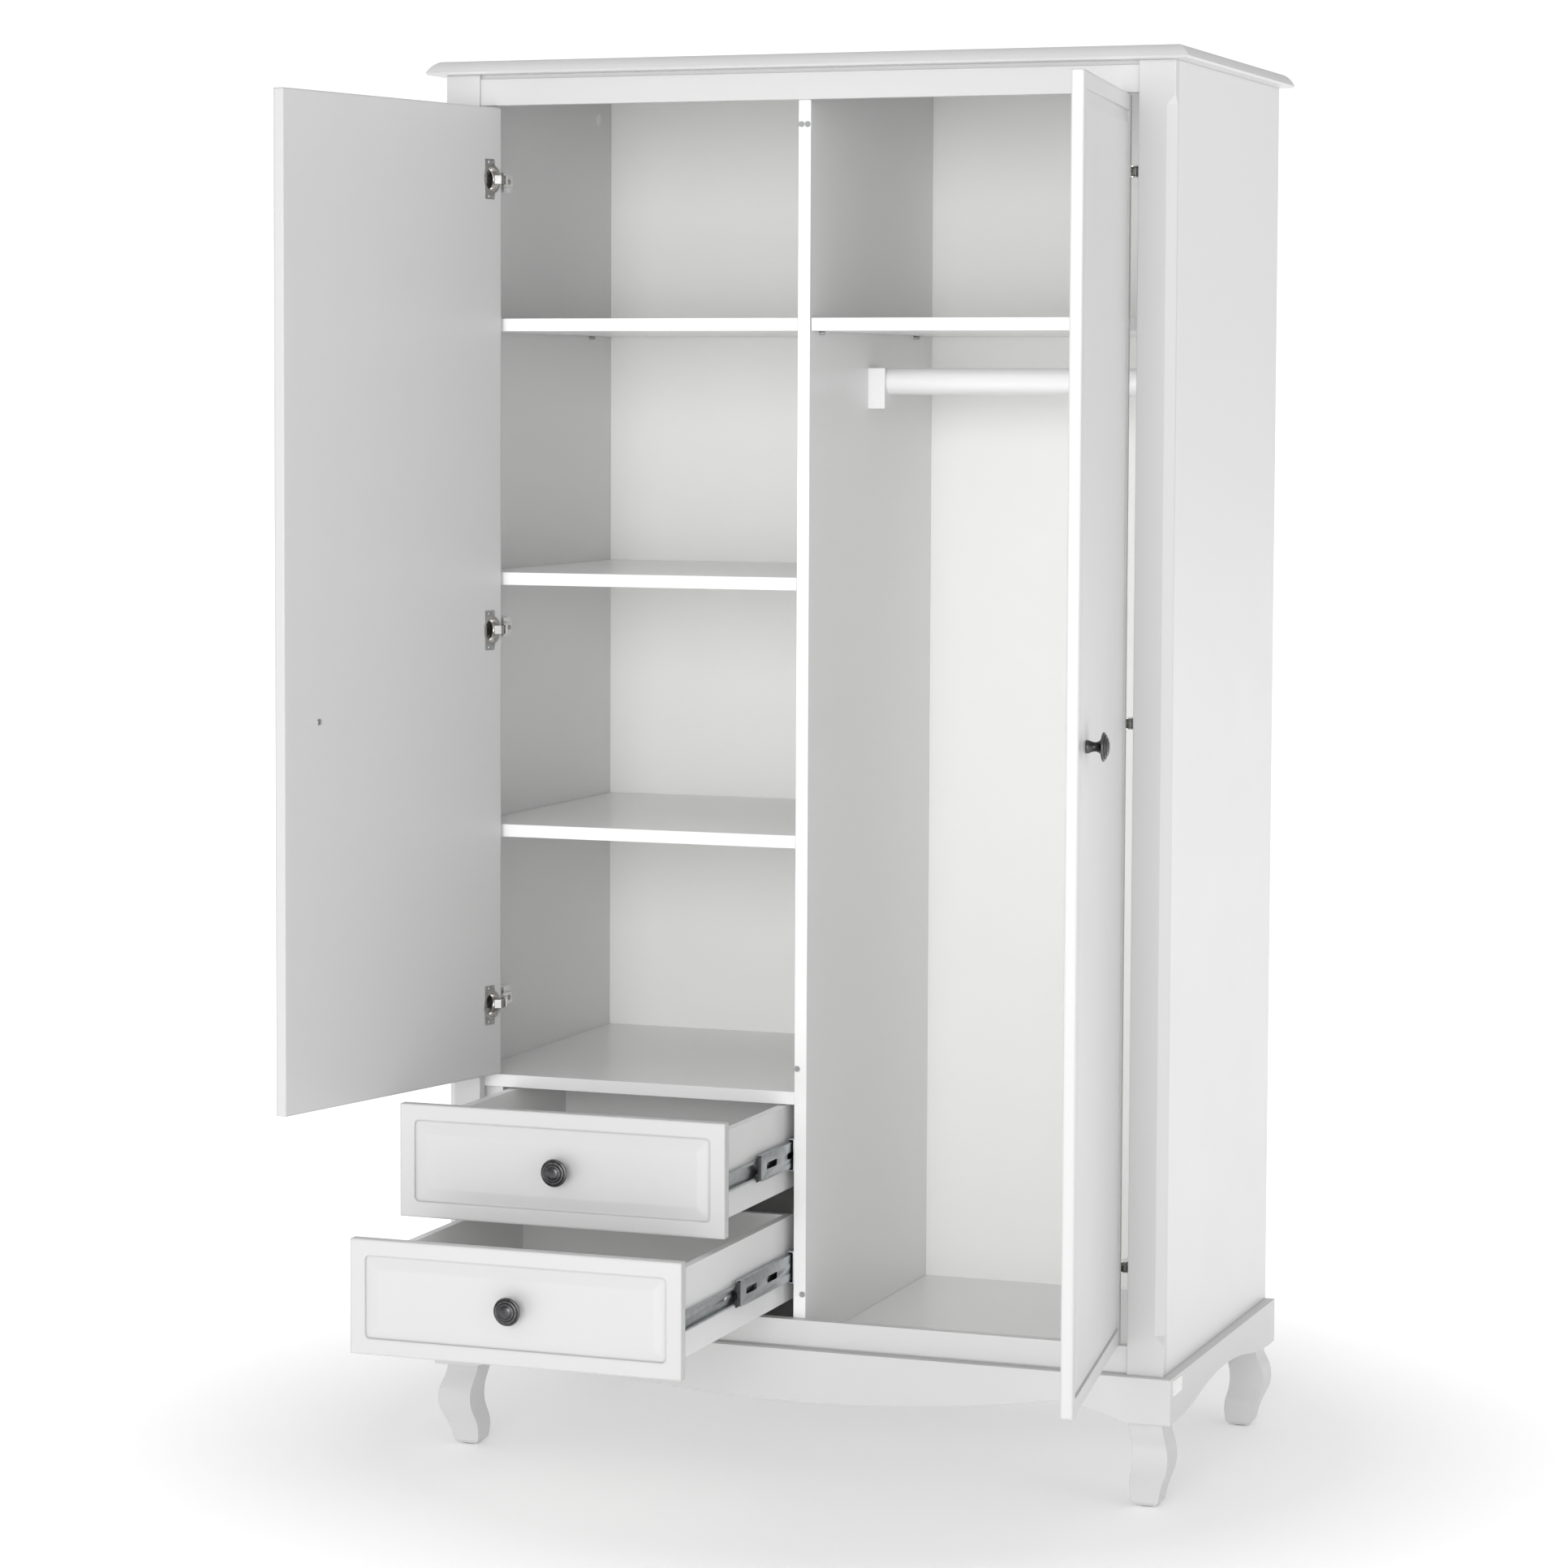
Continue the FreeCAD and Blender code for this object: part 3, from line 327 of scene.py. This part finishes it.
def turned(name, centre, steps, sides=64):
    """A closed round piece about an axis along -Y, made from a first disc by steps of
    (distance out, radius) in millimetres, as on a lathe."""
    bpy.ops.object.select_all(action="DESELECT")
    x, y, z = centre
    out, radius = steps[0]
    bpy.ops.mesh.primitive_circle_add(vertices=sides, radius=radius / 1000, fill_type="NGON",
                                      location=(x / 1000, (y - out) / 1000, z / 1000),
                                      rotation=(math.radians(90), 0, 0))
    piece = bpy.context.object
    piece.name = name
    bpy.ops.object.transform_apply(location=True, rotation=True, scale=True)
    bpy.ops.object.mode_set(mode="EDIT")
    bpy.ops.mesh.select_mode(type="FACE")
    bpy.ops.mesh.select_all(action="SELECT")
    for next_out, next_radius in steps[1:]:
        bpy.ops.mesh.extrude_region_move(
            TRANSFORM_OT_translate={"value": (0, (out - next_out) / 1000, 0)})
        grown = next_radius / radius
        bpy.ops.transform.resize(value=(grown, 1, grown),
                                 center_override=(x / 1000, (y - next_out) / 1000, z / 1000))
        out, radius = next_out, next_radius
    bpy.ops.mesh.select_all(action="SELECT")
    bpy.ops.mesh.normals_make_consistent(inside=False)
    bpy.ops.object.mode_set(mode="OBJECT")
    return piece


def copy_of(piece, name, moved):
    """A copy with its own mesh, moved by millimetres."""
    twin = bpy.data.objects.new(name, piece.data.copy())
    bpy.context.collection.objects.link(twin)
    only(twin)
    twin.location = [step / 1000 for step in moved]
    bpy.ops.object.transform_apply(location=True, rotation=True, scale=True)
    return twin


# Each door's name, the sign of its X, its hinge axis and the angle that it stands open.
doors = (("left", -1, (-467.7, -286), -103.5), ("right", 1, (467.7, -286), 98.5))
door_front, door_back = -288, -272


def swing_open(piece, axis, angle):
    """Turn a shut door's piece about its upright hinge axis to where the door stands."""
    only(piece)
    hub = Vector((axis[0] / 1000, axis[1] / 1000, 0))
    turn = Matrix.Rotation(math.radians(angle), 4, "Z")
    about_hub = Matrix.Translation(hub) @ turn @ Matrix.Translation(-hub)
    piece.matrix_world = about_hub @ piece.matrix_world
    bpy.ops.object.transform_apply(location=True, rotation=True, scale=True)


# The foot, the hollow neck, the wide edge, two rings and the domed button.
knob_steps = [
    (0, 8.2), (0.4, 8.5), (2.8, 8.5),
    (4.5, 7.9), (7.0, 6.9), (10.0, 6.1), (12.5, 5.9), (15.0, 6.6), (17.3, 8.2), (18.8, 10.5),
    (19.7, 13.5), (20.5, 16.6), (21.3, 18.5), (22.4, 19.0), (23.4, 18.5), (24.1, 17.3),
    (24.0, 16.4), (24.4, 15.9), (25.5, 15.6), (26.3, 14.7), (26.6, 13.5),
    (26.3, 12.6), (26.5, 12.0), (27.6, 11.6), (28.3, 10.6), (28.4, 9.8),
    (28.2, 9.2), (28.6, 8.5), (29.3, 7.0), (29.8, 4.6), (30.0, 2.2), (30.0, 0.6)]
knob = turned("knob", (0, 0, 0), knob_steps)
only(knob)
bpy.ops.object.shade_smooth_by_angle(angle=math.radians(60))
knob.data.materials.append(antique)
door_knob_in, door_knob_up = 73.5, 1070
for side, hand, axis, turn in doors:
    held = copy_of(knob, side + "_door_turned_knob",
                   (door_knob_in * hand, door_front, door_knob_up))
    swing_open(held, axis, turn)
    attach(held, side + "_door")
    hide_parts(side + "_door_knob")
drawer_middle = -240
for drawer, front, up in (("upper", -562, 462), ("lower", -720, 303)):
    held = copy_of(knob, drawer + "_drawer_turned_knob", (drawer_middle, front, up))
    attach(held, drawer + "_drawer")
    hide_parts(drawer + "_drawer_knob")
bpy.data.objects.remove(knob)

# ------------------------------------------------------------------------- knob screws
# Pan head screws with a cross recess, driven from the back of each door into its
# knob.  They are bright zinc plated steel.


def cut_out(piece, cutter):
    """Cut this shape out of a piece and throw the cutter away."""
    only(piece)
    taken = piece.modifiers.new("cut", "BOOLEAN")
    taken.operation = "DIFFERENCE"
    taken.solver = "EXACT"
    taken.object = cutter
    bpy.ops.object.modifier_apply(modifier="cut")
    bpy.data.objects.remove(cutter)


def cross_screw(name, radius, height, shank, shank_length):
    """A screw with its seat at the origin, its head towards +Y and a cross recess."""
    screw = turned(name, (0, 0, 0), [
        (shank_length, shank * 0.4), (shank_length - 2, shank), (0.05, shank),
        (0.05, radius * 0.94), (-height * 0.3, radius), (-height * 0.6, radius * 0.93),
        (-height * 0.85, radius * 0.74), (-height, radius * 0.45), (-height, 0.3)], sides=32)
    wing, reach, deep = radius * 0.11, radius * 0.58, height * 0.75
    cut_out(screw, block("slot", (-wing, height - deep, -reach), (wing, height + 1, reach)))
    cut_out(screw, block("slot", (-reach, height - deep, -wing), (reach, height + 1, wing)))
    only(screw)
    bpy.ops.object.shade_smooth_by_angle(angle=math.radians(30))
    screw.data.materials.append(zinc)
    return screw


pan_head = cross_screw("pan_head_screw", 4.5, 1.5, 1.9, 24)
for side, hand, axis, turn in doors:
    held = copy_of(pan_head, side + "_pan_head_screw",
                   (door_knob_in * hand, door_back, door_knob_up))
    swing_open(held, axis, turn)
    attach(held, side + "_door")
    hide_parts(side + "_knob_screw")
bpy.data.objects.remove(pan_head)

# ------------------------------------------------------------------------- hinge cups
# Drawn steel cups with a wide flange and two ears, nickel plated, let into a 35 mm
# bore in the back of the door and held by a cross-head screw through each ear.
nickel = plated_steel("nickel plated steel", "#DAD9D7", "#BCBBB8", 0.19, 0.0014)
dress(nickel, "hinge_arms", "left_hinge_links", "right_hinge_links")


def joined(name, pieces):
    """Join these pieces into the first one under this name."""
    only(pieces[0])
    for piece in pieces:
        piece.select_set(True)
    bpy.ops.object.join()
    pieces[0].name = name
    return pieces[0]


def mirrored(piece, across):
    """Mirror a piece in place across this X in millimetres, faces still outwards."""
    only(piece)
    bpy.ops.object.mode_set(mode="EDIT")
    bpy.ops.mesh.select_all(action="SELECT")
    bpy.ops.transform.resize(value=(-1, 1, 1), center_override=(across / 1000, 0, 0))
    bpy.ops.mesh.flip_normals()
    bpy.ops.object.mode_set(mode="OBJECT")


cup_in, cup_radius, cup_deep = 456, 17.4, 11.4
ear_steel, ear_screw_up, inside_cup = 1.2, 24, 17.2
cup = turned("cup", (cup_in, door_back, 0), [
    (cup_deep, 13.5), (cup_deep - 0.4, 15.6), (cup_deep - 1.6, 17.0),
    (cup_deep - 3, cup_radius), (0.0, cup_radius), (0.0, 19.6), (-1.0, 19.9),
    (-1.4, 19.4), (-1.4, 17.2), (-1.0, 16.5), (0.2, 16.1), (cup_deep - 3.2, 16.0),
    (cup_deep - 2, 15.4), (cup_deep - 1.3, 14.2), (cup_deep - 1.3, 0.5)])
ears = block("ears", (438.5, door_back, -28), (461.5, door_back + ear_steel, 28))
only(ears)
for edge in ears.data.edges:
    ends = [ears.data.vertices[v].co for v in edge.vertices]
    edge.select = abs(ends[0].x - ends[1].x) < 1e-6 and abs(ends[0].z - ends[1].z) < 1e-6
for face in ears.data.polygons:
    face.select = False
bpy.ops.object.mode_set(mode="EDIT")
bpy.ops.mesh.select_mode(type="EDGE")
bpy.ops.mesh.bevel(offset=0.0025, segments=5, affect="EDGES")
bpy.ops.object.mode_set(mode="OBJECT")
bpy.ops.mesh.primitive_cylinder_add(vertices=64, radius=inside_cup / 1000, depth=0.01,
                                    location=(cup_in / 1000, door_back / 1000, 0),
                                    rotation=(math.radians(90), 0, 0))
cut_out(ears, bpy.context.object)
soften(ears, 0.35, nickel)
only(cup)
bpy.ops.object.shade_smooth_by_angle(angle=math.radians(40))
cup.data.materials.append(nickel)
ear_screw = cross_screw("ear_screw", 3.6, 1.5, 1.8, 8)
ear_screws = [copy_of(ear_screw, "ear_screw", (450, door_back + ear_steel, up))
              for up in (-ear_screw_up, ear_screw_up)]
# A small black damping pad sits at the bottom of the cup, beside the link's end.
cup_bottom = door_back - cup_deep
pad = block("pad", (445, cup_bottom + 1.3, -7), (452.5, cup_bottom + 3.6, 7))
pick_faces(pad, lambda middle, normal: normal.y > 0.9)
bpy.ops.mesh.inset(thickness=0.0015)
bpy.ops.transform.translate(value=(0, -0.0006, 0))
bpy.ops.object.mode_set(mode="OBJECT")
soften(pad, 0.5, dark_plastic)
hinge_cup = joined("hinge_cup", [cup, ears, pad] + ear_screws)
hinge_levels = {"left": (644, 1178.5, 1814), "right": (326, 1070, 1814)}
for side, hand, axis, turn in doors:
    cups = joined(side + "_drawn_hinge_cups",
                  [copy_of(hinge_cup, "cup", (0, 0, level)) for level in hinge_levels[side]])
    if hand < 0:
        mirrored(cups, 0)
    swing_open(cups, axis, turn)
    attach(cups, side + "_door")
    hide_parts(side + "_hinge_cups")
bpy.data.objects.remove(hinge_cup)

# -------------------------------------------------------------------- hinge arm screws
# Each arm sits on a plate held by two cross-head screws in the spacer block behind the
# post, and carries a clamping screw and an adjusting screw on its own back.
arm_screw = copy_of(ear_screw, "arm_screw", (0, 0, 0))
swing_open(arm_screw, (0, 0), 90)
plate_face, arm_face = 478, 466
screw_places = ((plate_face, -216, -10.2), (plate_face, -216, 10.2),
                (arm_face, -238, 0), (arm_face, -218, 0))
for side, levels in hinge_levels.items():
    heads = []
    for level in levels:
        for face, along, up in screw_places:
            heads.append(copy_of(arm_screw, "arm_screw", (face, along, level + up)))
    heads = joined(side + "_hinge_arm_screws", heads)
    if side == "left":
        mirrored(heads, 0)
    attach(heads, "cabinet")
bpy.data.objects.remove(arm_screw)
bpy.data.objects.remove(ear_screw)

# ----------------------------------------------------------------------------- runners
# Ball bearing runners, one pair for each drawer.  Three zinc plated channels are
# rolled from strip, slotted for screws, and slide in one another with black catches.


def channel(name, web, mouth, start, end, level, half, lip, steel=1.2):
    """A rolled channel along Y in millimetres: a strip turned up along both edges and
    in again at the lips, then given its thickness."""
    inwards = 1 if mouth > web else -1
    web_middle = web + inwards * steel / 2
    depth = (mouth - web) / 1000 - inwards * steel / 1000
    half_middle = half - steel / 2
    bpy.ops.object.select_all(action="DESELECT")
    bpy.ops.mesh.primitive_plane_add(
        size=1, location=(web_middle / 1000, (start + end) / 2000, level / 1000),
        rotation=(0, math.radians(90), 0))
    piece = bpy.context.object
    piece.name = name
    piece.scale = (half_middle / 500, (end - start) / 1000, 1)
    bpy.ops.object.transform_apply(location=True, rotation=True, scale=True)
    for up in (1, -1):
        edge_height = (level + half_middle * up) / 1000
        only(piece)
        for face in piece.data.polygons:
            face.select = False
        for edge in piece.data.edges:
            ends = [piece.data.vertices[v].co for v in edge.vertices]
            edge.select = all(abs(end.z - edge_height) < 1e-5 for end in ends)
        for vertex in piece.data.vertices:
            vertex.select = abs(vertex.co.z - edge_height) < 1e-5
        bpy.ops.object.mode_set(mode="EDIT")
        bpy.ops.mesh.select_mode(type="EDGE")
        bpy.ops.mesh.extrude_edges_move(TRANSFORM_OT_translate={"value": (depth, 0, 0)})
        bpy.ops.mesh.extrude_edges_move(
            TRANSFORM_OT_translate={"value": (0, 0, -up * lip / 1000)})
        bpy.ops.object.mode_set(mode="OBJECT")
    only(piece)
    bpy.ops.object.mode_set(mode="EDIT")
    bpy.ops.mesh.select_all(action="SELECT")
    bpy.ops.mesh.normals_make_consistent(inside=False)
    bpy.ops.object.mode_set(mode="OBJECT")
    wall = piece.modifiers.new("steel", "SOLIDIFY")
    wall.thickness = steel / 1000
    wall.offset = 0
    wall.use_even_offset = True
    bpy.ops.object.modifier_apply(modifier="steel")
    return piece


def round_hole(piece, along, level, radius, x):
    """A hole straight through the web."""
    bpy.ops.object.select_all(action="DESELECT")
    bpy.ops.mesh.primitive_cylinder_add(vertices=24, radius=radius / 1000, depth=0.008,
                                        location=(x / 1000, along / 1000, level / 1000),
                                        rotation=(0, math.radians(90), 0))
    cut_out(piece, bpy.context.object)


def slot_hole(piece, start, end, level, half, x):
    """A slot with round ends straight through the web."""
    slot = block("slot", (x - 4, start + half, level - half), (x + 4, end - half, level + half))
    cut_out(piece, slot)
    round_hole(piece, start + half, level, half, x)
    round_hole(piece, end - half, level, half, x)


wall, drawer_side, run, catch_room = -9, -22, 450, 16
sets = {"runner_cabinet_members": []}
for drawer, level, drawer_start, middle_start in (("upper", 451, -543.7, -406.7),
                                                  ("lower", 292, -701.7, -485.7)):
    fixed = channel("fixed", wall, wall - 8.9, -269.7, -269.7 + run, level, 22.5, 3.6)
    for start in (-240, -120, 0, 110):
        slot_hole(fixed, start, start + 16, level, 2.6, wall)
    soften(fixed, 0.35, zinc)
    sets["runner_cabinet_members"].append(fixed)

    between = channel("between", wall - 3.8, wall - 10.8, middle_start + catch_room,
                      middle_start + run, level, 18.2, 3.4)
    for start in (38, 120, 300, 380):
        slot_hole(between, middle_start + start, middle_start + start + 42, level, 4.6,
                  wall - 4)
    for along, radius in ((16, 4.5), (28, 3.5)):
        for up in (-19.5, 19.5):
            round_hole(between, middle_start + along, level + up, radius, wall - 4)
    soften(between, 0.35, zinc)
    catch = block("catch", (wall - 6.2, middle_start + 0.5, level - 16.5),
                  (wall - 3.9, middle_start + 19, level + 16.5))
    cut_out(catch, block("mouth", (wall - 12, middle_start - 5, level - 5),
                         (wall - 2, middle_start + 6, level + 5)))
    soften(catch, 0.8, dark_plastic)
    cage = block("cage", (wall - 6.2, middle_start + 190, level - 16),
                 (wall - 5.1, middle_start + 290, level + 16))
    pick_faces(cage, lambda middle, normal: abs(normal.x) > 0.9)
    bpy.ops.mesh.inset(thickness=0.004)
    bpy.ops.transform.resize(value=(0.6, 1, 1), center_override=((wall - 5.65) / 1000, 0, 0))
    bpy.ops.object.mode_set(mode="OBJECT")
    soften(cage, 0.3, zinc)
    sets[drawer + "_runner_middle_members"] = [between, catch, cage]

    sliding = channel("sliding", drawer_side, drawer_side + 6.6, drawer_start,
                      drawer_start + run, level, 12.7, 2.2)
    for start in (30, 190, 340):
        slot_hole(sliding, drawer_start + start, drawer_start + start + 14, level, 2.4,
                  drawer_side)
    soften(sliding, 0.35, zinc)
    lever = block("lever", (drawer_side + 1.3, drawer_start + 236, level - 4.5),
                  (drawer_side + 4.6, drawer_start + 296, level + 4.5))
    pick_faces(lever, lambda middle, normal: normal.y < -0.9)
    bpy.ops.transform.resize(value=(0.7, 1, 0.45),
                             center_override=((drawer_side + 3) / 1000, 0, level / 1000))
    bpy.ops.object.mode_set(mode="OBJECT")
    soften(lever, 0.9, dark_plastic)
    buffer = block("buffer", (drawer_side + 1.3, drawer_start + 4, level - 8),
                   (drawer_side + 5.6, drawer_start + 22, level + 8))
    pick_faces(buffer, lambda middle, normal: normal.x > 0.9)
    bpy.ops.mesh.inset(thickness=0.0028)
    bpy.ops.transform.translate(value=(-0.0016, 0, 0))
    bpy.ops.object.mode_set(mode="OBJECT")
    soften(buffer, 0.7, dark_plastic)
    sets[drawer + "_runner_drawer_members"] = [sliding, lever, buffer]

bodies = {"runner_cabinet_members": "cabinet",
          "upper_runner_middle_members": "upper_runner_middle",
          "lower_runner_middle_members": "lower_runner_middle",
          "upper_runner_drawer_members": "upper_drawer",
          "lower_runner_drawer_members": "lower_drawer"}
between_the_walls = -233.5
for node, pieces in sets.items():
    right_hand = joined(node.replace("members", "channels"), pieces)
    left_hand = copy_of(right_hand, "left_hand", (0, 0, 0))
    mirrored(left_hand, between_the_walls)
    both = joined(node.replace("members", "channels"), [right_hand, left_hand])
    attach(both, bodies[node])
    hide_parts(node)

# ------------------------------------------------------------------ floor and light
# A white studio floor, lit by a large soft box well ahead, a smaller one on the right,
# and the white room's own glow.  The floor also glows by itself, a painted glow that is
# weak near the wardrobe and grows further out, so that it fades into the white background.


def new_area(name, where, towards, size, power):
    light = bpy.data.lights.new(name, "AREA")
    light.shape = "DISK"
    light.size = size
    light.energy = power
    held = bpy.data.objects.new(name, light)
    held.location = where
    held.rotation_euler = (Vector(towards) - Vector(where)).to_track_quat("-Z", "Y").to_euler()
    bpy.context.collection.objects.link(held)


new_area("front soft box", (1.2, -9.0, 2.0), (0, 0, 1.0), size=4.0, power=304)
new_area("side soft box", (6.0, -3.0, 2.4), (0.5, 0, 1.0), size=3.0, power=32)

bpy.ops.mesh.primitive_circle_add(radius=40, vertices=96, fill_type="NGON", location=(0, 0, 0))
floor = bpy.context.object
floor.name = "studio_floor"
paper, tree, shader, place = new_material("white floor sweep", "#F6F6F6", 0.7)
reach = add_node(tree, "ShaderNodeVectorMath", {0: place.outputs["Object"]}, operation="LENGTH")
# Painted glow: the floor emits light, weak near the wardrobe and stronger further out.
fade_from, fade_until = 0.7, 1.55
painted_floor_glow = add_node(tree, "ShaderNodeMapRange", {"Value": reach.outputs["Value"]},
                From_Min=fade_from, From_Max=fade_until, To_Min=0.17, To_Max=0.64)
shader.inputs["Emission Color"].default_value = colour("#FFFFFF")
tree.links.new(painted_floor_glow.outputs["Result"], shader.inputs["Emission Strength"])
floor.data.materials.append(paper)

world = bpy.data.worlds.new("white room")
world.use_nodes = True
bpy.context.scene.world = world
tree = world.node_tree
glow = tree.nodes["Background"]
glow.inputs["Color"].default_value = colour("#FFFFFF")
seen = add_node(tree, "ShaderNodeLightPath", {})
room_glow, background_white = 0.62, 1.1
level = add_node(tree, "ShaderNodeMapRange", {"Value": seen.outputs["Is Camera Ray"]},
                 To_Min=room_glow, To_Max=background_white)
tree.links.new(level.outputs["Result"], glow.inputs["Strength"])

# ---------------------------------------------------------------------------- camera
# A long lens a little above chest height, six metres ahead of the wardrobe and two
# to the right.  It looks slightly down, with the frame shifted so that the doors,
# the open drawers and the top all stay in it.
eye = Vector((2.0771, -6.0248, 1.5004))
heading, dipped, rolled = (math.radians(angle) for angle in (20.098, 3.71, 0.25))
lens = bpy.data.cameras.new("camera")
lens.sensor_width = 36
lens.lens = 101.32
lens.shift_y = -0.06
camera = bpy.data.objects.new("camera", lens)
bpy.context.collection.objects.link(camera)
camera.rotation_mode = "XYZ"
camera.location = eye
camera.rotation_euler = (math.radians(90) - dipped, -rolled, heading)
bpy.context.scene.camera = camera
bpy.context.scene.view_settings.view_transform = "Standard"
